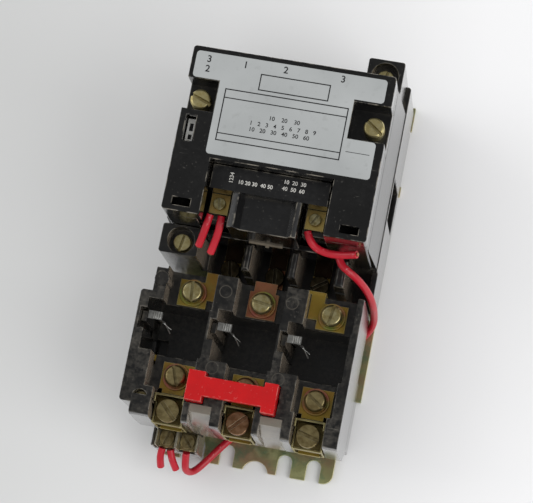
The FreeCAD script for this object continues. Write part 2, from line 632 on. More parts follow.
def mounting_plate():
    w, t, low = PLATE_HALF_W, TOP_TONGUE_HALF_W, LOW_TONGUE_HALF_W
    half = [(low, PLATE_BOTTOM), (low, PLATE_SHOULDER_LOW), (w, PLATE_SHOULDER_LOW),
            (w, PLATE_SHOULDER_TOP), (t, PLATE_SHOULDER_TOP), (t, PLATE_TOP)]
    outline = half + [(-x, y) for x, y in reversed(half)]
    plate = prism_z(outline, 0, PLATE_T)
    corners = upright_edges(plate, -w, w, PLATE_BOTTOM - 1, PLATE_BOTTOM + 1)
    corners += upright_edges(plate, -w, w, PLATE_TOP - 1, PLATE_TOP + 1)
    plate = plate.makeFillet(TONGUE_CORNER_R, corners)
    cuts = [open_slot(x, SLOT_W, SLOT_LEN) for x in SLOT_XS]
    cuts.append(open_slot(WIDE_SLOT_X, WIDE_SLOT_W, WIDE_SLOT_LEN))
    cuts.append(rod(ROUND_NOTCH_X, PLATE_BOTTOM + ROUND_NOTCH_DEPTH - ROUND_NOTCH_R,
                    -CUT_OVER, PLATE_T + CUT_OVER, ROUND_NOTCH_R))
    cuts.append(rod(0, PLATE_TOP - TOP_HOLE_EDGE, -CUT_OVER, PLATE_T + CUT_OVER, TOP_HOLE_R))
    for y0, y1 in EDGE_NOTCHES:
        for s in (-1, 1):
            xs = sorted((s * (w - EDGE_NOTCH), s * (w + CUT_OVER)))
            cuts.append(block(xs[0], xs[1], y0, y1, -CUT_OVER, PLATE_T + CUT_OVER))
    for x, y in (LOW_POST_SCREW, HIGH_POST_SCREW):
        cuts.append(rod(x, y, -CUT_OVER, PLATE_T + CUT_OVER, BASE_SCREW_R + HOLE_GAP))
    for x, y in RELAY_SCREWS:
        cuts.append(rod(x, y, -CUT_OVER, PLATE_T + CUT_OVER, RELAY_SCREW_R + HOLE_GAP))
    save("mounting_plate", carve(plate, cuts))


# ------------------------------------------------------------------ contactor base
def fin_walls():
    """x ranges of the walls between and beside the three contact chambers."""
    between = [(a + CHAMBER_HALF_W, b - CHAMBER_HALF_W) for a, b in zip(CONTACTS, CONTACTS[1:])]
    right = CONTACTS[2] + CHAMBER_HALF_W
    return between, (right, right + OUTER_FIN_T)


def base_post(place, screw):
    x0, x1, y0, y1 = place
    post = block(x0, x1, y0, y1, PLATE_T, POST_TOP)
    post = post.makeFillet(POST_EDGE_R, upright_edges(post, x0 - 1, x1 + 1, y0 - 1, y1 + 1))
    bore = [rod(*screw, POST_SEAT, POST_TOP + CUT_OVER, POST_BORE_R),
            rod(*screw, PLATE_T - CUT_OVER, POST_SEAT + CUT_OVER, BASE_SCREW_R + PASS_GAP)]
    return post, bore


def contactor_base():
    w, side = BASE_HALF_W, BASE_HALF_W - BASE_SIDE_WALL
    deep0, deep1 = BASE_Y0 + CHAMBER_END, BASE_Y1 - CHAMBER_END
    body = block(-w, w, BASE_Y0, BASE_Y1, PLATE_T, BASE_TOP)
    body = body.makeFillet(EDGE_R, upright_edges(body, -w - 1, w + 1, BASE_Y0 - 1, BASE_Y1 + 1))
    cuts = []
    for x in CONTACTS:
        x0, x1 = x - CHAMBER_HALF_W, x + CHAMBER_HALF_W
        cuts.append(block(x0, x1, BASE_Y0 - CUT_OVER, BASE_Y1 + CUT_OVER,
                          TERMINAL_FLOOR, BASE_TOP + CUT_OVER))
        cuts.append(block(x0, x1, deep0, deep1, BASE_FLOOR, TERMINAL_FLOOR + CUT_OVER))
        for y in (LOAD_Y, LINE_Y):
            cuts.append(rod(x, y, TERMINAL_SCREW_END - THREAD_ROOM, TERMINAL_FLOOR + CUT_OVER,
                            TERMINAL_SCREW_R + HOLE_GAP))
    between, (fin_x0, fin_x1) = fin_walls()
    cuts.append(block(fin_x1, side, deep0, deep1, BASE_FLOOR, BASE_TOP + CUT_OVER))
    cuts.append(block(fin_x1, side, BASE_Y0 - CUT_OVER, COVER_Y0, BASE_FLOOR, BASE_TOP + CUT_OVER))
    cuts.append(block(side - CUT_OVER, w + CUT_OVER, BASE_Y0 - CUT_OVER, COVER_Y0,
                      SIDE_GAP_TOP, BASE_TOP + CUT_OVER))
    cuts.append(block(side - CUT_OVER, w + CUT_OVER, *VENT_Y, *VENT_Z))
    cuts.append(block(-side, INTERLOCK_WALL_X, deep0, deep1, BASE_FLOOR, BASE_TOP + CUT_OVER))
    cuts.append(block(-side, INTERLOCK_WALL_X, deep1 - CUT_OVER, BASE_Y1 + CUT_OVER,
                      INTERLOCK_FLOOR + INTERLOCK_BUTTON_T, BASE_TOP + CUT_OVER))
    for x in INTERLOCK_SCREW_XS:
        cuts.append(rod(x, INTERLOCK_SCREW_Y, INTERLOCK_SCREW_END - THREAD_ROOM, BASE_TOP,
                        INTERLOCK_SCREW_R + HOLE_GAP))
    body = carve(body, cuts)
    adds, bores = [], []
    tops = [FIN_TOP] * len(between) + [OUTER_FIN_TOP]
    for (x0, x1), top in zip(between + [(fin_x0, fin_x1)], tops):
        low = block(x0, x1, BASE_Y0 + LOAD_FIN_INSET, BASE_Y0 + FIN_LEN, TERMINAL_FLOOR, top)
        chamfer = min(FIN_CHAMFER, 0.3 * (x1 - x0))
        adds.append(low.makeChamfer(chamfer, top_edges(low, top)))
    for x0, x1 in between:
        adds.append(block(x0, x1, BASE_Y1 - LINE_FIN_LEN, BASE_Y1, TERMINAL_FLOOR, FIN_TOP))
    for place, screw in ((LOW_POST, LOW_POST_SCREW), (HIGH_POST, HIGH_POST_SCREW)):
        post, bore = base_post(place, screw)
        adds.append(post)
        bores += bore
    for s in (-1, 1):
        adds.append(rod(s * COVER_SCREW_X, COVER_SCREW_Y, BASE_FLOOR, BASE_TOP, BASE_BOSS_R))
        bores.append(rod(s * COVER_SCREW_X, COVER_SCREW_Y, COVER_SCREW_END - THREAD_ROOM,
                         BASE_TOP + CUT_OVER, COVER_SCREW_R + HOLE_GAP))
    save("contactor_base", carve(join([body] + adds), bores))


def base_fasteners():
    screws, washers = [], []
    for (x, y), angle in ((LOW_POST_SCREW, 80), (HIGH_POST_SCREW, 78)):
        seat = POST_SEAT + LOCK_WASHER_T
        screws.append(slotted_screw(x, y, seat, BASE_SCREW_HEAD_R, BASE_SCREW_HEAD_H,
                                    BASE_SCREW_R, TIP_GAP, angle))
        washers.append(tube(x, y, POST_SEAT, seat, LOCK_WASHER_R, BASE_SCREW_R + WASHER_GAP))
    save("base_screws", *screws)
    save("base_screw_washers", *washers)


# ------------------------------------------------------------------ stationary contacts
def contact_strip(x, y_out, y_in, screw_y):
    """Copper strip on the terminal floor with a contact button under its inner end."""
    y0, y1 = sorted((y_out, y_in))
    strip = block(x - STRIP_W / 2, x + STRIP_W / 2, y0, y1, TERMINAL_FLOOR, TERMINAL_FLOOR + STRIP_T)
    tip = y_in + math.copysign(BUTTON_R + BUTTON_EDGE, y_out - y_in)
    button = rod(x, tip, STATION_BUTTON_Z, TERMINAL_FLOOR, BUTTON_R)
    hole = rod(x, screw_y, TERMINAL_FLOOR - CUT_OVER, TERMINAL_FLOOR + STRIP_T + CUT_OVER,
               TERMINAL_SCREW_R + HOLE_GAP)
    return join([strip, button]).cut(hole)


def main_contacts():
    load_in, line_in = MAGNET_Y - STRIP_REACH, MAGNET_Y + STRIP_REACH
    save("load_contacts", *[contact_strip(x, BASE_Y0, load_in, LOAD_Y) for x in CONTACTS])
    save("line_contacts", *[contact_strip(x, BASE_Y1, line_in, LINE_Y) for x in CONTACTS])
    top = TERMINAL_FLOOR + STRIP_T
    angles = (100, 95, 35)
    save("load_terminal_screws", *[
        slotted_screw(x, LOAD_Y, top + STRAP_T, TERMINAL_HEAD_R, TERMINAL_HEAD_H,
                      TERMINAL_SCREW_R, TERMINAL_SCREW_END, a) for x, a in zip(CONTACTS, angles)])
    save("line_terminal_screws", *[
        slotted_screw(x, LINE_Y, top + CLAMP_T, TERMINAL_HEAD_R, TERMINAL_HEAD_H,
                      TERMINAL_SCREW_R, TERMINAL_SCREW_END, a) for x, a in zip(CONTACTS, angles)])
    clamps = []
    for x in CONTACTS:
        half_w, half_l = CLAMP_HALF
        clamp = block(x - half_w, x + half_w, LINE_Y - half_l, LINE_Y + half_l, top, top + CLAMP_T)
        hole = rod(x, LINE_Y, top - CUT_OVER, top + 2 * CUT_OVER, TERMINAL_SCREW_R + HOLE_GAP)
        clamps.append(clamp.cut(hole))
    save("line_terminal_clamps", *clamps)


# ------------------------------------------------------------------ contactor housing
def ear_blocks(grow, z0, z1):
    """Blocks of the two screw ears, grown sideways by grow."""
    blocks = []
    for side, (length, y0, y1) in ((-1, EAR_LEFT), (1, EAR_RIGHT)):
        edge = side * COVER_HALF_W
        x0, x1 = sorted((edge, edge - side * length))
        blocks.append(block(x0 - grow, x1 + grow, y0 - grow, y1 + grow, z0, z1))
    return blocks


def magnet_housing():
    w, inner = COVER_HALF_W, COVER_HALF_W - SHELL_T
    y0, y1 = COVER_Y0 + SHELL_T, COVER_Y1 - SHELL_T
    body = block(-w, w, COVER_Y0, COVER_Y1, BASE_TOP, PARTING_Z)
    body = body.makeFillet(EDGE_R, upright_edges(body, -w - 1, w + 1, COVER_Y0 - 1, COVER_Y1 + 1))
    body = body.cut(block(-inner, inner, y0, y1, BASE_TOP - CUT_OVER, PARTING_Z + CUT_OVER))
    half_stack = MAGNET_STACK / 2
    throat_x = MAGNET_HALF_W + SHADING_T + 2 * SEAT_GAP
    throat_y = half_stack + SHADING_T + SEAT_GAP
    shelf = block(-inner, inner, y0, y1, SHELF_BOTTOM, SHELF_TOP)
    shelf = shelf.cut(block(-throat_x, throat_x, MAGNET_Y - throat_y, MAGNET_Y + throat_y,
                            SHELF_BOTTOM - CUT_OVER, SHELF_TOP + CUT_OVER))
    flag_x0, flag_x1, flag_y0, flag_y1 = FLAG_WINDOW
    shelf = shelf.cut(block(flag_x0, flag_x1, flag_y0, flag_y1,
                            SHELF_BOTTOM - CUT_OVER, SHELF_TOP + CUT_OVER))
    bosses = [rod(s * COVER_SCREW_X, COVER_SCREW_Y, BASE_TOP, EAR_Z, COVER_BOSS_R) for s in (-1, 1)]
    body = join([body, shelf] + bosses)
    cuts = ear_blocks(EAR_WALL + FIT_GAP, EAR_Z, PARTING_Z + CUT_OVER)
    cuts.append(block(WINDOW_X0 - WINDOW_SIDE, WINDOW_X1, COVER_Y0 - CUT_OVER, y0 + CUT_OVER,
                      SILL_Z, PARTING_Z + CUT_OVER))
    cuts.append(block(WINDOW_X0, WINDOW_X1, COVER_Y0 - CUT_OVER, COIL_FRONT_Y - SEAT_GAP,
                      SILL_Z, SHELF_TOP + CUT_OVER))
    cuts.append(rod_y(WIRE_HOLE_X, WIRE_HOLE_Z, COVER_Y0 - CUT_OVER, y0 + CUT_OVER,
                      WIRE_D / 2 + PASS_GAP))
    cuts += [rod(s * COVER_SCREW_X, COVER_SCREW_Y, BASE_TOP - CUT_OVER, EAR_Z + CUT_OVER,
                 COVER_SCREW_R + PASS_GAP) for s in (-1, 1)]
    save("magnet_housing", carve(body, cuts))


# ------------------------------------------------------------------ magnet and coil
def magnet_yoke():
    y0, y1 = MAGNET_Y - MAGNET_STACK / 2, MAGNET_Y + MAGNET_STACK / 2
    w, core = MAGNET_HALF_W, MAGNET_CORE / 2
    back = block(-w, w, y0, y1, BOBBIN_Z1, BOBBIN_Z1 + MAGNET_BACK)
    legs = [block(-w, -w + MAGNET_LEG, y0, y1, POLE_FACE_Z, BOBBIN_Z1),
            block(-core, core, y0, y1, POLE_FACE_Z, BOBBIN_Z1),
            block(w - MAGNET_LEG, w, y0, y1, POLE_FACE_Z, BOBBIN_Z1)]
    yoke = join([back] + legs)
    slots = []
    for s in (-1, 1):
        xs = sorted((s * SHADING_X, s * (SHADING_X + SHADING_T)))
        slots.append(block(xs[0], xs[1], y0 - CUT_OVER, y1 + CUT_OVER,
                           POLE_FACE_Z - CUT_OVER, POLE_FACE_Z + SHADING_H))
    save("magnet_yoke", carve(yoke, slots))
    rings = []
    for s in (-1, 1):
        x_in, x_out = s * SHADING_X, s * (w + SEAT_GAP + SHADING_T)
        grow = SHADING_T + SPRING_GAP
        xs = sorted((x_in, x_out))
        ring = block(xs[0], xs[1], y0 - grow, y1 + grow, POLE_FACE_Z + TIP_GAP, POLE_FACE_Z + SHADING_H)
        xs = sorted((x_in + s * SHADING_T, x_out - s * SHADING_T))
        hole = block(xs[0], xs[1], y0 - SPRING_GAP, y1 + SPRING_GAP,
                     POLE_FACE_Z - 1, POLE_FACE_Z + SHADING_H + 1)
        rings.append(ring.cut(hole))
    save("shading_coils", *rings)


def coil_and_bobbin():
    core_x = MAGNET_CORE / 2 + SEAT_GAP
    core_y = MAGNET_STACK / 2 + SEAT_GAP
    tube_x, tube_y = core_x + BOBBIN_WALL, core_y + BOBBIN_WALL
    out_x, out_y = COIL_HALF_W, core_y + WINDING_T
    y0, y1 = MAGNET_Y - out_y, MAGNET_Y + out_y
    low = block(-out_x, out_x, y0, y1, BOBBIN_Z0, BOBBIN_Z0 + BOBBIN_T)
    high = block(-out_x, out_x, COIL_FACE_Y1, y1, BOBBIN_Z1 - BOBBIN_T, BOBBIN_Z1)
    lip = COIL_BLOCK_Y0 - TONGUE_OUT
    tongue = block(*TONGUE_X, lip, y0, BOBBIN_Z0, BOBBIN_Z0 + BOBBIN_T)
    rib = block(*RIB_X, lip - TONGUE_OUT, lip, BOBBIN_Z0, BOBBIN_Z0 + BOBBIN_T)
    sleeve = block(-tube_x, tube_x, MAGNET_Y - tube_y, MAGNET_Y + tube_y, BOBBIN_Z0, BOBBIN_Z1)
    core = block(-core_x, core_x, MAGNET_Y - core_y, MAGNET_Y + core_y,
                 BOBBIN_Z0 - CUT_OVER, BOBBIN_Z1 + CUT_OVER)
    save("coil_bobbin", carve(join([low, high, tongue, rib, sleeve]), [core]))
    z0, z1 = BOBBIN_Z0 + BOBBIN_T, BOBBIN_Z1 - BOBBIN_T
    winding = block(-out_x, out_x, y0, y1, z0, z1)
    winding = winding.cut(block(-tube_x, tube_x, MAGNET_Y - tube_y, MAGNET_Y + tube_y, z0 - 1, z1 + 1))
    face = block(*COIL_FACE_X, COIL_FRONT_Y, COIL_FACE_Y1, COIL_SEAT_Z, COIL_FACE_Z)
    left, right = COIL_TERMINAL_XS[0] + NOSE_SIDE[0], COIL_TERMINAL_XS[1] - NOSE_SIDE[1]
    dip, shoulder, crest = COIL_NOSE_Z
    profile = [(left, z0), (left, shoulder), (left + 2.9, crest), (left + 5.6, dip),
               (right - 4.4, dip), (right - 2.2, crest), (right, shoulder), (right, z0)]
    front = prism_y(profile, COIL_BLOCK_Y0, COIL_FRONT_Y)
    seats = [block(x - COIL_SEAT_HALF_W, x + COIL_SEAT_HALF_W, COIL_BLOCK_Y0 + COIL_SEAT_STEP,
                   COIL_FRONT_Y, z0, COIL_SEAT_Z)
             for x in COIL_TERMINAL_XS]
    web = block(*COIL_FACE_X, COIL_FRONT_Y, COIL_FACE_Y1, z0, COIL_SEAT_Z)
    coil = join([winding, web, face, front] + seats)
    holes = [rod(x, COIL_TERMINAL_Y, COIL_SEAT_Z - COIL_SCREW_BITE - 1, COIL_SEAT_Z + 1,
                 COIL_SCREW_R + HOLE_GAP)
             for x in COIL_TERMINAL_XS]
    coil = carve(coil, holes)
    save("coil", coil)


def coil_terminals():
    clamps, screws = [], []
    z = COIL_SEAT_Z + COIL_CLAMP_LIFT
    for x, angle in zip(COIL_TERMINAL_XS, (100, 60)):
        clamp = saddle_clamp(x, COIL_TERMINAL_Y, z, *COIL_CLAMP_HALF, COIL_CLAMP_T, COIL_CLAMP_LIFT)
        hole = rod(x, COIL_TERMINAL_Y, z - 1, z + COIL_CLAMP_T + 1, COIL_SCREW_R + HOLE_GAP)
        clamps.append(clamp.cut(hole))
        screws.append(slotted_screw(x, COIL_TERMINAL_Y, z + COIL_CLAMP_T, COIL_HEAD_R, COIL_HEAD_H,
                                    COIL_SCREW_R, COIL_SEAT_Z - COIL_SCREW_BITE, angle, SMALL_RIM))
    save("coil_terminal_clamps", *clamps)
    save("coil_terminal_screws", *screws)


# ------------------------------------------------------------------ front cover and label
def front_cover():
    w, inner = COVER_HALF_W, COVER_HALF_W - SHELL_T
    body = block(-w, w, COVER_Y0, COVER_Y1, PARTING_Z, COVER_TOP)
    body = body.makeFillet(EDGE_R, upright_edges(body, -w - 1, w + 1, COVER_Y0 - 1, COVER_Y1 + 1))
    body = body.cut(block(-inner, inner, COVER_Y0 + SHELL_T, COVER_Y1 - SHELL_T,
                          PARTING_Z - CUT_OVER, COVER_TOP - SHELL_T))
    ears = [b.common(block(-w, w, 0, COVER_Y1, 0, COVER_TOP))
            for b in ear_blocks(EAR_WALL, EAR_Z, COVER_TOP)]
    window_wall = block(WINDOW_X0 - SHELL_T, WINDOW_X1 + SHELL_T, COVER_Y0, WINDOW_Y1 + SHELL_T,
                        PARTING_Z, COVER_TOP)
    body = join([body, window_wall] + ears)
    cuts = ear_blocks(0, EAR_SEAT, COVER_TOP + CUT_OVER)
    cuts = [join([c, c.translated(V(math.copysign(CUT_OVER, c.BoundBox.Center.x), 0, 0))]) for c in cuts]
    cuts.append(block(WINDOW_X0, WINDOW_X1, COVER_Y0 - CUT_OVER, WINDOW_Y1,
                      PARTING_Z - CUT_OVER, COVER_TOP + CUT_OVER))
    for s in (-1, 1):
        x = s * COVER_SLOT_X
        cuts.append(block(x - COVER_SLOT_W / 2, x + COVER_SLOT_W / 2, COVER_SLOT_Y,
                          COVER_SLOT_Y + COVER_SLOT_L, PARTING_Z - CUT_OVER, COVER_TOP + CUT_OVER))
        cuts.append(rod(s * COVER_SCREW_X, COVER_SCREW_Y, EAR_Z - CUT_OVER, EAR_SEAT + CUT_OVER,
                        COVER_SCREW_R + PASS_GAP))
    flag_x0, flag_x1, flag_y0, flag_y1 = FLAG_WINDOW
    cuts.append(block(flag_x0, flag_x1, flag_y0, flag_y1, PARTING_Z, COVER_TOP + CUT_OVER))
    save("front_cover", carve(body, cuts))


def label_plate():
    x0, x1, low, step = LABEL_X0, LABEL_X1, LABEL_LOW, LABEL_STEP_LOW
    band_left, band_right = LABEL_BAND
    outline = [(x0, LABEL_TOP), (x1, LABEL_TOP), (x1, band_right), (LABEL_STEP_RIGHT, band_right),
               (LABEL_STEP_RIGHT, step), (x1, step), (x1, low), (LABEL_STEP_LEFT, low),
               (LABEL_STEP_LEFT, band_left), (x0, band_left)]
    label = prism_z(outline, COVER_TOP, LABEL_Z)
    sharp = [(LABEL_STEP_RIGHT, band_right), (LABEL_STEP_RIGHT, step), (LABEL_STEP_LEFT, band_left)]
    edges = []
    for x, y in outline:
        if (x, y) not in sharp:
            edges += upright_edges_any(label, x, y)
    save("label_plate", label.makeFillet(LABEL_CORNER_R, edges))


def upright_edges_any(shape, x, y):
    """Short upright edges at one corner of a thin plate."""
    found = []
    for edge in shape.Edges:
        box = edge.BoundBox
        if box.XLength < 0.01 and box.YLength < 0.01:
            if abs(box.Center.x - x) < 0.01 and abs(box.Center.y - y) < 0.01:
                found.append(edge)
    return found


def cover_screws():
    screws = [slotted_screw(s * COVER_SCREW_X, COVER_SCREW_Y, EAR_SEAT, COVER_HEAD_R, COVER_HEAD_H,
                            COVER_SCREW_R, COVER_SCREW_END, a, COVER_HEAD_RIM)
              for s, a in ((-1, -20), (1, -35))]
    save("cover_screws", *screws)


# ------------------------------------------------------------------ moving contact carrier
def carrier_stem(x):
    """Stem of one pole with the window that holds its bridge and spring."""
    stem = block(x - STEM_HALF_W, x + STEM_HALF_W, MAGNET_Y - STEM_HALF_L, MAGNET_Y + STEM_HALF_L,
                 STEM_END, CARRIER_Z0)
    window = block(x - STRIP_W / 2 - FIT_GAP, x + STRIP_W / 2 + FIT_GAP,
                   MAGNET_Y - STEM_HALF_L - CUT_OVER, MAGNET_Y + STEM_HALF_L + CUT_OVER,
                   STEM_FLOOR, MOVING_BUTTON_Z + STEM_ROOM)
    return stem.cut(window)


def contact_carrier():
    half_l = CARRIER_HALF_L
    top = block(-CARRIER_HALF_W, CARRIER_HALF_W, MAGNET_Y - half_l, MAGNET_Y + half_l,
                CARRIER_Z0, CARRIER_Z1)
    arm = block(FLAG_WINDOW[0], -CARRIER_HALF_W, FLAG_WINDOW[2], FLAG_WINDOW[3], CARRIER_Z0, CARRIER_Z1)
    cheek_in, cheek_t = MAGNET_STACK / 2 + FIT_GAP, CHEEK_T
    cheeks = [block(-CHEEK_HALF_W, CHEEK_HALF_W, MAGNET_Y + s * cheek_in - (cheek_t if s < 0 else 0),
                    MAGNET_Y + s * cheek_in + (cheek_t if s > 0 else 0), CARRIER_Z1, CARRIER_Z1 + CHEEK_H)
              for s in (-1, 1)]
    mid_x = INTERLOCK_MID
    holder = block(mid_x - HOLDER_HALF_W, mid_x + HOLDER_HALF_W, HOLDER_Y0, HOLDER_Y1,
                   HOLDER_Z0, CARRIER_Z0)
    hatch = block(mid_x - HOLDER_HALF_W - 1, mid_x + HOLDER_HALF_W + 1, INTERLOCK_Y0 - SEAT_GAP,
                  INTERLOCK_Y0 + INTERLOCK_BRIDGE_W + SEAT_GAP, HOLDER_Z0 + HOLDER_FLOOR_T,
                  INTERLOCK_BRIDGE_Z1 + HOLDER_ROOM)
    pin = rod_y(0, PIN_Z, MAGNET_Y - half_l, MAGNET_Y + half_l, PIN_R + PIN_GAP)
    body = join([top, arm] + cheeks + [holder] + [carrier_stem(x) for x in CONTACTS])
    save("contact_carrier", carve(body, [hatch, pin]))


def armature():
    y0, y1 = MAGNET_Y - MAGNET_STACK / 2, MAGNET_Y + MAGNET_STACK / 2
    bar = block(-MAGNET_HALF_W, MAGNET_HALF_W, y0, y1, CARRIER_Z1, ARMATURE_TOP)
    ends = [e for e in top_edges(bar, ARMATURE_TOP) if e.BoundBox.XLength < 0.01]
    bar = bar.makeChamfer(FIN_CHAMFER, ends)
    hole = rod_y(0, PIN_Z, y0 - 1, y1 + 1, PIN_R + PIN_GAP)
    save("armature", bar.cut(hole))
    reach = MAGNET_STACK / 2 + FIT_GAP + CHEEK_T
    save("armature_pin", rod_y(0, PIN_Z, MAGNET_Y - reach, MAGNET_Y + reach, PIN_R))


def moving_contacts():
    reach = STRIP_REACH + 2 * BUTTON_R + BRIDGE_END
    tip = STRIP_REACH + BUTTON_R + BUTTON_EDGE
    bridges, springs = [], []
    for x in CONTACTS:
        bar = block(x - STRIP_W / 2, x + STRIP_W / 2, MAGNET_Y - reach, MAGNET_Y + reach,
                    BRIDGE_Z0, BRIDGE_Z1)
        buttons = [rod(x, MAGNET_Y + s * tip, BRIDGE_Z1, MOVING_BUTTON_Z, BUTTON_R) for s in (-1, 1)]
        bridges.append(join([bar] + buttons))
        springs.append(helix_spring(x, MAGNET_Y, STEM_FLOOR + SMALL_SPRING_GAP,
                                    BRIDGE_Z0 - SMALL_SPRING_GAP,
                                    CONTACT_SPRING_R, SPRING_WIRE_R, 5))
    save("moving_contacts", *bridges)
    save("contact_springs", *springs)


def return_springs():
    springs = [helix_spring(0, MAGNET_Y + s * RETURN_SPRING_Y, CARRIER_Z1 + SPRING_GAP,
                            SHELF_BOTTOM - SPRING_GAP,
                            RETURN_SPRING_R, SPRING_WIRE_R, 6) for s in (-1, 1)]
    save("return_springs", *springs)


def interlock():
    strips, screws = [], []
    for x, screw_x in zip(INTERLOCK_XS, INTERLOCK_SCREW_XS):
        z0 = INTERLOCK_FLOOR + INTERLOCK_BUTTON_T
        z1 = z0 + INTERLOCK_STRIP_T
        strip = block(x - INTERLOCK_STRIP_W / 2, x + INTERLOCK_STRIP_W / 2, INTERLOCK_Y0, BASE_Y1, z0, z1)
        pad = block(screw_x - INTERLOCK_PAD_HALF_W, screw_x + INTERLOCK_PAD_HALF_W,
                    BASE_Y1 - INTERLOCK_PAD_L, BASE_Y1, z0, z1)
        button = rod(x, INTERLOCK_Y0 + INTERLOCK_BRIDGE_W / 2, INTERLOCK_FLOOR, z0, INTERLOCK_BUTTON_R)
        hole = rod(screw_x, INTERLOCK_SCREW_Y, z0 - 1, z1 + 1, INTERLOCK_SCREW_R + HOLE_GAP)
        strips.append(join([strip, pad, button]).cut(hole))
        screws.append(slotted_screw(screw_x, INTERLOCK_SCREW_Y, z1, INTERLOCK_HEAD_R, INTERLOCK_HEAD_H,
                                    INTERLOCK_SCREW_R, INTERLOCK_SCREW_END, 90, SMALL_RIM))
    save("interlock_contacts", *strips)
    save("interlock_screws", *screws)
    x0 = INTERLOCK_XS[0] - INTERLOCK_BUTTON_R - INTERLOCK_BRIDGE_EDGE
    x1 = INTERLOCK_XS[1] + INTERLOCK_BUTTON_R + INTERLOCK_BRIDGE_EDGE
    y1 = INTERLOCK_Y0 + INTERLOCK_BRIDGE_W
    bar = block(x0, x1, INTERLOCK_Y0, y1, INTERLOCK_BRIDGE_Z0, INTERLOCK_BRIDGE_Z1)
    tips = [rod(x, (INTERLOCK_Y0 + y1) / 2, INTERLOCK_BRIDGE_Z1,
                INTERLOCK_BRIDGE_Z1 + INTERLOCK_BUTTON_T, INTERLOCK_BUTTON_R) for x in INTERLOCK_XS]
    save("interlock_bridge", join([bar] + tips))
    save("interlock_spring", helix_spring(
        INTERLOCK_MID, (INTERLOCK_Y0 + y1) / 2, HOLDER_Z0 + HOLDER_FLOOR_T + SMALL_SPRING_GAP,
        INTERLOCK_BRIDGE_Z0 - SMALL_SPRING_GAP, INTERLOCK_SPRING_R, INTERLOCK_WIRE_R, 4))


def indicator_flag():
    x0, x1, y0, y1 = FLAG_WINDOW
    g = SEAT_GAP
    save("indicator_flag", block(x0 + g, x1 - g, y0 + g, y1 - g, CARRIER_Z1, FLAG_TOP))


# ------------------------------------------------------------------ overload relay mouldings
def bay_cuts():
    """Heater bays, terminal zones, lug pockets and pawl slots of the three poles."""
    cuts = []
    for i, p in enumerate(POLES):
        left, right = p - BAY_LEFT, p + BAY_RIGHT
        z1 = RELAY_TOP + CUT_OVER
        cuts.append(block(left, right, BAY_Y0, BAY_Y1, BAY_FLOOR, z1))
        cuts.append(block(p - UPPER_HALF_W, p + UPPER_HALF_W, BAY_Y1 - CUT_OVER,
                          RELAY_Y1 + CUT_OVER, SHELF_Z, z1))
        low_left = -LOWER_HALF_W if i else -LOWER_HALF_W - LEFT_POLE_EXTRA
        zone = [(left, BAY_Y0 + CUT_OVER), (left, KNEE_Y), (p + low_left, BAY_Y0),
                (p + low_left, LUG_POCKET_Y1 - CUT_OVER), (p + LOWER_HALF_W, LUG_POCKET_Y1 - CUT_OVER),
                (p + LOWER_HALF_W, BAY_Y0 + CUT_OVER)]
        cuts.append(prism_z(zone[1:5] + [(p + LOWER_HALF_W, KNEE_Y)], SHELF_Z, z1))
        x = p + LUG_X_SHIFT
        pocket = LUG_HALF + LUG_POCKET_GAP
        cuts.append(block(x - pocket, x + pocket, FRONT_Y - CUT_OVER, LUG_POCKET_Y1,
                          LUG_FLOOR, z1))
        cuts.append(block(left - ARM_BACK - SEAT_GAP, left + CUT_OVER, ARM_Y0 - TRIP_TRAVEL - ARM_ROOM,
                          ARM_Y1 + ARM_ROOM, RELAY_SPLIT - CUT_OVER, z1))
        for y in (0, -HEATER_SPACING):
            cuts.append(rod(p, y, SHELF_Z - HEATER_SCREW_BITE - THREAD_ROOM, SHELF_Z + CUT_OVER,
                            HEATER_SCREW_R + HOLE_GAP))
    return cuts


def slide_cavities():
    """Room for the trip slide, its fingers, the bridge and the springs."""
    z0, z1 = RELAY_SPLIT - CUT_OVER, SLIDE_Z1 + SLIDE_ROOF
    x0 = SLIDE_X0 - SLIDE_END_ROOM
    cuts = [block(x0, SLIDE_X1 + SLIDE_END_ROOM, SLIDE_Y0 - TRIP_TRAVEL - ARM_ROOM,
                  SLIDE_Y1 + SLIDE_ROOM, z0, z1)]
    for x in STEM_XS:
        half = CAVITY_HALF_W
        cuts.append(block(x - half, x + half, HOOK_BACK - TRIP_TRAVEL - SLIDE_ROOM, SLIDE_Y0, z0,
                          HOOK_TOP + SLIDE_ROOM))
        cuts.append(block(x - half, x + half, STEM_Y - STEM_ROOM_Y[0], STEM_Y + STEM_ROOM_Y[1], z0,
                          SPRING_SEAT - SPRING_SEAT_T))
        cuts.append(rod(x, STEM_Y, SPRING_SEAT - 4, SPRING_SEAT + 1, STEM_R + SEAT_GAP))
        cuts.append(rod(x, STEM_Y, SPRING_SEAT, RELAY_TOP, COLLAR_R + LUG_POCKET_GAP))
    cuts.append(block(BRIDGE_X0 - SLIDE_ROOF, BRIDGE_X1 + ARM_ROOM, CONTROL_FACE_Y - CONTACT_ROOM,
                      SLIDE_Y0, z0, z1))
    cuts.append(block(FLAG_X0 - SLIDE_ROOM, FLAG_X1 + SLIDE_ROOM, FLAG_Y0 - TRIP_TRAVEL - SLIDE_ROOM,
                      SLIDE_Y0, z0, SHELF_Z))
    for x in CONTROL_XS:
        half = CONTROL_STRIP_W / 2 + LUG_POCKET_GAP
        cuts.append(block(x - half, x + half, FRONT_Y - CUT_OVER, CONTROL_FACE_Y, z0,
                          CONTROL_STRIP_Z + CONTROL_STRIP_T + LUG_POCKET_GAP))
    cuts.append(block(-TRIP_SPRING_ROOM, TRIP_SPRING_ROOM, TRIP_SPRING_Y0, SLIDE_Y0, z0, z1))
    return cuts


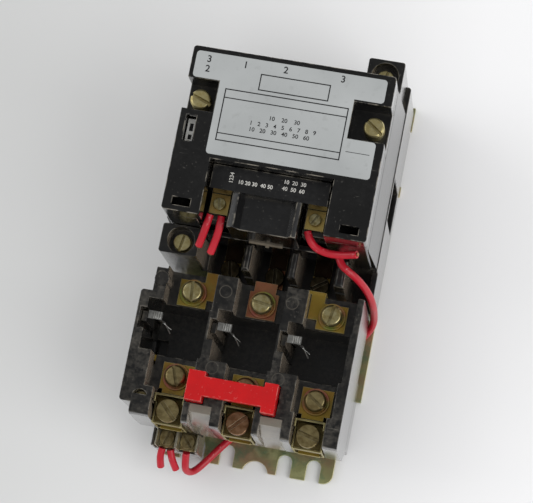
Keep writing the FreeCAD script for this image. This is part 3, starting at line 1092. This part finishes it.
def overload_housing():
    profile = [(RELAY_Y1, RELAY_SPLIT), (RELAY_Y1, RELAY_TOP)] + list(RELAY_FRONT)
    body = prism_x(profile, RELAY_LEFT, RELAY_RIGHT)
    flange = block(FLANGE_LEFT, RELAY_LEFT + CUT_OVER, FLANGE_Y0, FLANGE_Y1, FLANGE_Z, RELAY_TOP)
    flange = flange.makeFillet(EDGE_R, upright_edges(flange, FLANGE_LEFT - 1, FLANGE_LEFT + 1, -99, 99))
    arm_wall = block(SLIDE_X0 - ARM_WALL_T, RELAY_LEFT + CUT_OVER,
                     SLIDE_Y0 - TRIP_TRAVEL - ARM_ROOM - ARM_WALL_T,
                     SLIDE_Y1 + SLIDE_ROOM + ARM_WALL_T, RELAY_SPLIT, FLANGE_Z)
    body = join([body, flange, arm_wall])
    cuts = bay_cuts() + slide_cavities()
    step_x = RELAY_LEFT + RELAY_LEFT_STEP
    cuts.append(block(RELAY_LEFT - CUT_OVER, step_x, RELAY_Y1 - RELAY_STEP_DEPTH, RELAY_Y1 + CUT_OVER,
                      RELAY_SPLIT - CUT_OVER, RELAY_TOP + CUT_OVER))
    for x, y in RELAY_SCREWS:
        cuts.append(rod(x, y, RELAY_SPLIT - CUT_OVER, RELAY_TOP + CUT_OVER, RELAY_SCREW_BORE_R))
    z = RESET_TOP - RESET_BLOCK_H - RESET_TRAVEL - SEAT_GAP
    for x0, x1 in (RESET_LEFT_X, RESET_RIGHT_X):
        cuts.append(block(x0 - SEAT_GAP, x1 + SEAT_GAP, RESET_BLOCK_Y[0] - SEAT_GAP,
                          RESET_BLOCK_Y[1] + SEAT_GAP, z, RELAY_TOP + CUT_OVER))
    for x, y in PLUG_RINGS:
        cuts.append(tube(x, y, RELAY_TOP - PLUG_RING_DEPTH, RELAY_TOP + CUT_OVER,
                         PLUG_RING_R, PLUG_RING_R - PLUG_RING_W))
    for x, y in HOUSING_SCREWS:
        cuts.append(rod(x, y, RELAY_SPLIT - CUT_OVER, RELAY_SPLIT + HOUSING_SCREW_BITE + 1.0,
                        HOUSING_SCREW_R + HOLE_GAP))
    save("overload_housing", carve(body, cuts))


def wire_channel():
    """Groove under the relay along the jumper wire's route."""
    half = WIRE_D / 2 + CHANNEL_CLEAR
    pieces = []
    for a, b in zip(JUMPER_ROUTE, JUMPER_ROUTE[1:]):
        if max(a[2], b[2]) > RELAY_SPLIT - 2 * WIRE_D or b[1] < CONTROL_Y - WIRE_D:
            continue
        run = V(b[0] - a[0], b[1] - a[1], 0)
        length = run.Length
        groove = block(-half, length + half, -half, half, PLATE_T - CUT_OVER, max(a[2], b[2]) + half)
        groove.rotate(V(0, 0, 0), V(0, 0, 1), math.degrees(math.atan2(run.y, run.x)))
        groove.translate(V(a[0], a[1], 0))
        pieces.append(groove)
    return pieces


def overload_base():
    z1 = RELAY_SPLIT
    body = block(RELAY_LEFT, RELAY_RIGHT, RELAY_BASE_Y0, RELAY_Y1, PLATE_T, z1)
    x0, x1, y0 = CONTROL_BLOCK
    tongue = block(x0, x1, y0, RELAY_BASE_Y0 + 1.2, CONTROL_BLOCK_Z0, CONTROL_STRIP_Z)
    t = CONTROL_BARRIER_T
    mid = (CONTROL_XS[0] + CONTROL_XS[1]) / 2
    barriers = [block(x, x + t, y0, CONTROL_BARRIER_Y1, CONTROL_BLOCK_Z0, CONTROL_BARRIER_TOP)
                for x in (x0, mid - t / 2, x1 - t)]
    tongue = tongue.cut(block(x0 - 1, x1 + 1, FRONT_Y - TIP_GAP, 0, z1, CONTROL_STRIP_Z + 1))
    body = join([body, tongue] + barriers)
    cuts = [block(WIRE_GAP_X, RELAY_RIGHT + CUT_OVER, WIRE_GAP_Y, RELAY_Y1 + CUT_OVER,
                  PLATE_T - CUT_OVER, z1 + CUT_OVER)]
    cuts += wire_channel()
    for x, y in RELAY_SCREWS:
        cuts.append(rod(x, y, PLATE_T - CUT_OVER, RELAY_SCREW_SEAT + 1, RELAY_SCREW_R + PASS_GAP))
        cuts.append(rod(x, y, RELAY_SCREW_SEAT, z1 + CUT_OVER, RELAY_SCREW_BORE_R))
    for x, y in HOUSING_SCREWS:
        cuts.append(rod(x, y, PLATE_T - CUT_OVER, z1 + CUT_OVER, HOUSING_SCREW_R + PASS_GAP))
        cuts.append(rod(x, y, PLATE_T - CUT_OVER, HOUSING_SEAT, HOUSING_HEAD_R + PASS_GAP))
    for x in CONTROL_XS:
        cuts.append(rod(x, CONTROL_Y, CONTROL_STRIP_Z - CONTROL_SCREW_BITE - 1, CONTROL_STRIP_Z + 1,
                        CONTROL_SCREW_R + HOLE_GAP))
    save("overload_base", carve(body, cuts))


def relay_fasteners():
    screws = [slotted_screw(x, y, RELAY_SCREW_SEAT, RELAY_HEAD_R, RELAY_HEAD_H, RELAY_SCREW_R,
                            TIP_GAP, 40, SMALL_RIM) for x, y in RELAY_SCREWS]
    save("overload_mounting_screws", *screws)
    rivets = []
    for x, y in HOUSING_SCREWS:
        head = rod(x, y, PLATE_T + TIP_GAP, HOUSING_SEAT, HOUSING_HEAD_R)
        shank = rod(x, y, HOUSING_SEAT, RELAY_SPLIT + HOUSING_SCREW_BITE, HOUSING_SCREW_R)
        rivets.append(join([head, shank]))
    save("housing_screws", *rivets)


# ------------------------------------------------------------------ relay conductors
def connector_strap(name, pole_x, contact_x):
    """Copper strap from a contactor load terminal up to an upper heater terminal."""
    z0, z1 = SHELF_Z, SHELF_Z + STRAP_T
    h = PLATE_STRAP_HALF_W
    low_z = TERMINAL_FLOOR + STRIP_T
    drop_y = RELAY_Y1 + SEAT_GAP
    flat = block(pole_x - h, pole_x + h, *UPPER_STRAP_Y, z0, z1)
    shift = contact_x - pole_x
    if abs(shift) > h:
        tab_x0, tab_x1 = sorted((pole_x + math.copysign(UPPER_HALF_W - SEAT_GAP, shift),
                                 pole_x + math.copysign(h - TAB_INSET[0], shift)))
    else:
        tab_x0, tab_x1 = pole_x - h + TAB_INSET[1], pole_x + h - TAB_INSET[1]
    tab = block(tab_x0, tab_x1, TAB_Y0, drop_y + STRAP_T, z0, z1)
    half = STRIP_W / 2
    wall = block(min(tab_x0, contact_x - half), max(tab_x1, contact_x + half),
                 drop_y, drop_y + STRAP_T, low_z, z1)
    foot = block(contact_x - half, contact_x + half, drop_y, LOAD_Y + FOOT_REACH, low_z, low_z + STRAP_T)
    strap = join([flat, tab, wall, foot])
    holes = [rod(pole_x, 0, z0 - 1, z1 + 1, HEATER_SCREW_R + HOLE_GAP),
             rod(contact_x, LOAD_Y, low_z - 1, low_z + STRAP_T + 1, TERMINAL_SCREW_R + HOLE_GAP)]
    save(name, carve(strap, holes))


def square_washer(x, y, x0, x1, y0, y1):
    """Pressure plate round the screw at x, y; the other values are its edges from there."""
    z0 = SHELF_Z + STRAP_T
    plate = block(x + x0, x + x1, y + y0, y + y1, z0, z0 + WASHER_T)
    plate = plate.makeFillet(WASHER_CORNER_R, upright_edges(plate, x - 20, x + 20, y - 20, y + 20))
    return plate.cut(rod(x, y, z0 - 1, z0 + WASHER_T + 1, HEATER_SCREW_R + HOLE_GAP))


def lower_strap(pole_x):
    """Copper strap from a lower heater terminal down into the box lug."""
    z0, z1 = SHELF_Z, SHELF_Z + STRAP_T
    y = -HEATER_SPACING
    half = TONGUE_HALF_W
    x = pole_x + LUG_X_SHIFT
    left, right = LOWER_STRAP_X
    flat = block(pole_x + left, pole_x + right, LUG_POCKET_Y1, y + LOWER_STRAP_Y1, z0, z1)
    neck = block(x - half, x + half, LUG_POCKET_Y1 - SEAT_GAP - STRAP_T, LUG_POCKET_Y1, z0, z1)
    drop = block(x - half, x + half, LUG_POCKET_Y1 - SEAT_GAP - STRAP_T, LUG_POCKET_Y1 - SEAT_GAP,
                 LUG_TONGUE_Z, z1)
    tongue = block(x - half, x + half, LUG_Y - LUG_HALF + TONGUE_INSET, LUG_POCKET_Y1 - SEAT_GAP,
                   LUG_TONGUE_Z, LUG_TONGUE_Z + STRAP_T)
    hole = rod(pole_x, y, z0 - 1, z1 + 1, HEATER_SCREW_R + HOLE_GAP)
    return join([flat, neck, drop, tongue]).cut(hole)


def lug_frame(x):
    """Open-topped box lug: four walls, a floor, wire windows and a threaded bridge."""
    h, t = LUG_HALF, LUG_WALL
    shell = block(x - h, x + h, LUG_Y - h, LUG_Y + h, LUG_FLOOR + SPRING_GAP, LUG_TOP)
    shell = shell.makeFillet(FIN_CHAMFER, upright_edges(shell, x - 20, x + 20, -99, 0))
    shell = shell.cut(block(x - h + t, x + h - t, LUG_Y - h + t, LUG_Y + h - t,
                            LUG_FLOOR + t, LUG_TOP + 1))
    nut = block(x - h + t / 2, x + h - t / 2, LUG_Y - h + t / 2, LUG_Y + h - t / 2, *LUG_NUT_Z)
    windows = block(x - h + t, x + h - t, LUG_Y - h - 1, LUG_Y + h + 1, LUG_FLOOR + t,
                    LUG_NUT_Z[0] - TONGUE_INSET)
    hole = rod(x, LUG_Y, LUG_NUT_Z[0] - 1, LUG_NUT_Z[1] + 1, LUG_SCREW_R + HOLE_GAP)
    return carve(join([shell, nut]), [windows, hole])


def relay_conductors():
    for name, p, c in zip(("left", "middle", "right"), POLES, CONTACTS):
        connector_strap(f"connector_strap_{name}", p, c)
    save("upper_terminal_washers", *[square_washer(p, 0, *UPPER_WASHER) for p in POLES])
    save("upper_heater_screws", *[
        slotted_screw(p, 0, HEAD_Z, HEATER_HEAD_R, HEATER_HEAD_H, HEATER_SCREW_R,
                      SHELF_Z - HEATER_SCREW_BITE, a)
        for p, a in zip(POLES, (80, 145, 60))])
    save("lower_terminal_straps", *[lower_strap(p) for p in POLES])
    save("lower_terminal_washers", *[
        square_washer(p, -HEATER_SPACING, *LOWER_WASHER) for p in POLES])
    save("lower_heater_screws", *[
        slotted_screw(p, -HEATER_SPACING, HEAD_Z, HEATER_HEAD_R, HEATER_HEAD_H, HEATER_SCREW_R,
                      SHELF_Z - HEATER_SCREW_BITE, a) for p, a in zip(POLES, (110, 150, 130))])
    lugs = [p + LUG_X_SHIFT for p in POLES]
    save("lug_frames", *[lug_frame(x) for x in lugs])
    seat = LUG_TOP - LUG_HEAD_DEPTH - LUG_HEAD_H
    save("lug_screws", *[slotted_screw(x, LUG_Y, seat, LUG_HEAD_R, LUG_HEAD_H, LUG_SCREW_R,
                                       LUG_SCREW_END, a) for x, a in zip(lugs, (135, 45, 165))])


# ------------------------------------------------------------------ trip slide and reset
def trip_slide():
    bar = block(SLIDE_X0, SLIDE_X1, SLIDE_Y0, SLIDE_Y1, SLIDE_Z0, SLIDE_Z1)
    pieces = [bar]
    for p in POLES:
        x1 = p - BAY_LEFT - ARM_BACK + ARM_T
        pieces.append(block(x1 - ARM_T, x1, ARM_Y0, ARM_Y1, SLIDE_Z1, ARM_TOP))
    slope = STEM_Y + STEM_BOTTOM - SEAT_GAP * math.sqrt(2)
    for x in STEM_XS:
        thin = SLIDE_Z0 + FINGER_T
        hook = prism_x([(SLIDE_Y0, SLIDE_Z0), (SLIDE_Y0, thin), (slope - thin, thin),
                        (slope - HOOK_TOP, HOOK_TOP), (HOOK_BACK, HOOK_TOP), (HOOK_BACK, SLIDE_Z0)],
                       x - FINGER_HALF_W, x + FINGER_HALF_W)
        pieces.append(hook)
    mid = (CONTROL_XS[0] + CONTROL_XS[1]) / 2
    half = PUSHER_HALF_W
    pieces.append(block(mid - half, mid + half, BRIDGE_Y1, SLIDE_Y0, SLIDE_Z0, SLIDE_Z1))
    pieces.append(block(FLAG_X0, FLAG_X1, FLAG_Y0, SLIDE_Y0, SLIDE_Z0, FLAG_FOOT))
    save("trip_slide", join(pieces))


def trip_contacts():
    z0, z1 = CONTROL_STRIP_Z, CONTROL_STRIP_Z + CONTROL_STRIP_T
    save("trip_contact_bridge", block(BRIDGE_X0, BRIDGE_X1, BRIDGE_Y0, BRIDGE_Y1,
                                      z0 - SLIDE_ROOM, SLIDE_Z1))
    strips = []
    for x in CONTROL_XS:
        h = CONTROL_STRIP_W / 2
        bar = block(x - h, x + h, CONTROL_STRIP_END, CONTROL_FACE_Y, z0, z1)
        tip = block(x - h, x + h, CONTROL_FACE_Y - CONTROL_STRIP_T, CONTROL_FACE_Y, z1, SLIDE_Z1)
        hole = rod(x, CONTROL_Y, z0 - 1, z1 + 1, CONTROL_SCREW_R + HOLE_GAP)
        strips.append(join([bar, tip]).cut(hole))
    save("control_contacts", *strips)
    clamps, screws = [], []
    for x, angle in zip(CONTROL_XS, (75, 130)):
        z = z1 + CONTROL_CLAMP_LIFT
        clamp = saddle_clamp(x, CONTROL_Y, z, *CONTROL_CLAMP_HALF, CONTROL_CLAMP_T, CONTROL_CLAMP_LIFT)
        clamps.append(clamp.cut(rod(x, CONTROL_Y, z - 1, z + 2, CONTROL_SCREW_R + HOLE_GAP)))
        screws.append(slotted_screw(x, CONTROL_Y, z + CONTROL_CLAMP_T, CONTROL_HEAD_R, CONTROL_HEAD_H,
                                    CONTROL_SCREW_R, CONTROL_STRIP_Z - CONTROL_SCREW_BITE, angle,
                                    SMALL_RIM))
    save("control_terminal_clamps", *clamps)
    save("control_terminal_screws", *screws)


def pawls():
    hooks, wires = [], []
    for p in POLES:
        x0 = p - BAY_LEFT - ARM_BACK
        x1 = p - BAY_LEFT + PAWL_REACH
        root, y = x1 - PAWL_HOOK, ARM_Y0 + PAWL_INSET
        plate = block(x0, root, y, ARM_Y1, ARM_TOP, ARM_TOP + PAWL_T)
        hook = prism_z([(root, y), (x1, y - 1.8), (x1, y + 0.8), (root, y + 2.4)],
                       ARM_TOP, ARM_TOP + PAWL_T)
        lip = block(x1 - PAWL_T, x1, ARM_Y0 - 1.0, ARM_Y0 + 1.0, ARM_TOP - PAWL_LIP, ARM_TOP)
        hooks.append(join([plate, hook, lip]))
        places = [V(x1 + dx, ARM_Y0 + dy, ARM_TOP - dz) for dx, dy, dz in PAWL_WIRE]
        runs = [Part.makeCylinder(PAWL_WIRE_R, (b - a).Length, a, b - a)
                for a, b in zip(places, places[1:])]
        wires.append(join(runs + [Part.makeSphere(PAWL_WIRE_R, places[1])]))
    save("pawls", *hooks)
    save("pawl_springs", *wires)


def reset_bar():
    z1 = RESET_TOP
    z0 = z1 - RESET_BLOCK_H
    blocks = [block(x0, x1, *RESET_BLOCK_Y, z0, z1) for x0, x1 in (RESET_LEFT_X, RESET_RIGHT_X)]
    bar = block(RESET_LEFT_X[1], RESET_RIGHT_X[0], *RESET_BAR_Y, z1 - RESET_BAR_T, z1)
    stems = []
    for x in STEM_XS:
        stem = join([rod(x, STEM_Y, STEM_BOTTOM, z0, STEM_R), rod(x, STEM_Y, *COLLAR_Z, COLLAR_R)])
        far = STEM_R + 1
        wedge = prism_x([(STEM_Y, STEM_BOTTOM - 0.001), (STEM_Y - far, STEM_BOTTOM - 0.001),
                         (STEM_Y - far, STEM_BOTTOM + far)], x - far, x + far)
        stems.append(stem.cut(wedge))
    save("reset_bar", join(blocks + [bar] + stems))
    springs = [helix_spring(x, STEM_Y, SPRING_SEAT + SPRING_GAP, COLLAR_Z[0] - SPRING_GAP,
                            STEM_R + RESET_COIL_GAP, TRIP_WIRE_R, 7)
               for x in STEM_XS]
    save("reset_springs", *springs)
    save("reset_clips", *[tube(x, STEM_Y, *CLIP_Z, CLIP_R, STEM_R) for x in STEM_XS])


def trip_flag():
    save("trip_flag", block(FLAG_X0, FLAG_X1, FLAG_Y0, FLAG_Y1, FLAG_FOOT, YELLOW_FLAG_TOP))


def trip_spring():
    spring = helix_spring(0, 0, 0, SLIDE_Y0 - TRIP_SPRING_Y0 - 2 * SPRING_GAP,
                          TRIP_SPRING_R, TRIP_WIRE_R, 8)
    spring.rotate(V(0, 0, 0), V(1, 0, 0), -90)
    spring.translate(V(0, TRIP_SPRING_Y0 + SPRING_GAP, (SLIDE_Z0 + SLIDE_Z1) / 2))
    save("trip_spring", spring)


# ------------------------------------------------------------------ wires
def wires():
    save("jumper_wire", bent_wire(JUMPER_ROUTE, WIRE_D, "jumper_wire"))
    save("coil_wire_stubs", *[bent_wire(r, WIRE_D, "coil_wire_stub") for r in LEFT_TAILS])
    save("coil_wire_tail", bent_wire(RIGHT_TAIL, WIRE_D, "coil_wire_tail"))
    save("control_wire_stubs", *[bent_wire(r, WIRE_D, "control_wire_stub") for r in CONTROL_TAILS])


def build():
    mounting_plate()
    contactor_base()
    base_fasteners()
    main_contacts()
    magnet_housing()
    magnet_yoke()
    coil_and_bobbin()
    coil_terminals()
    front_cover()
    label_plate()
    cover_screws()
    contact_carrier()
    armature()
    moving_contacts()
    return_springs()
    interlock()
    indicator_flag()
    overload_housing()
    overload_base()
    relay_fasteners()
    relay_conductors()
    trip_slide()
    trip_contacts()
    pawls()
    reset_bar()
    trip_flag()
    trip_spring()
    wires()
    print("origin shift", tuple(round(v, 3) for v in ORIGIN))


build()
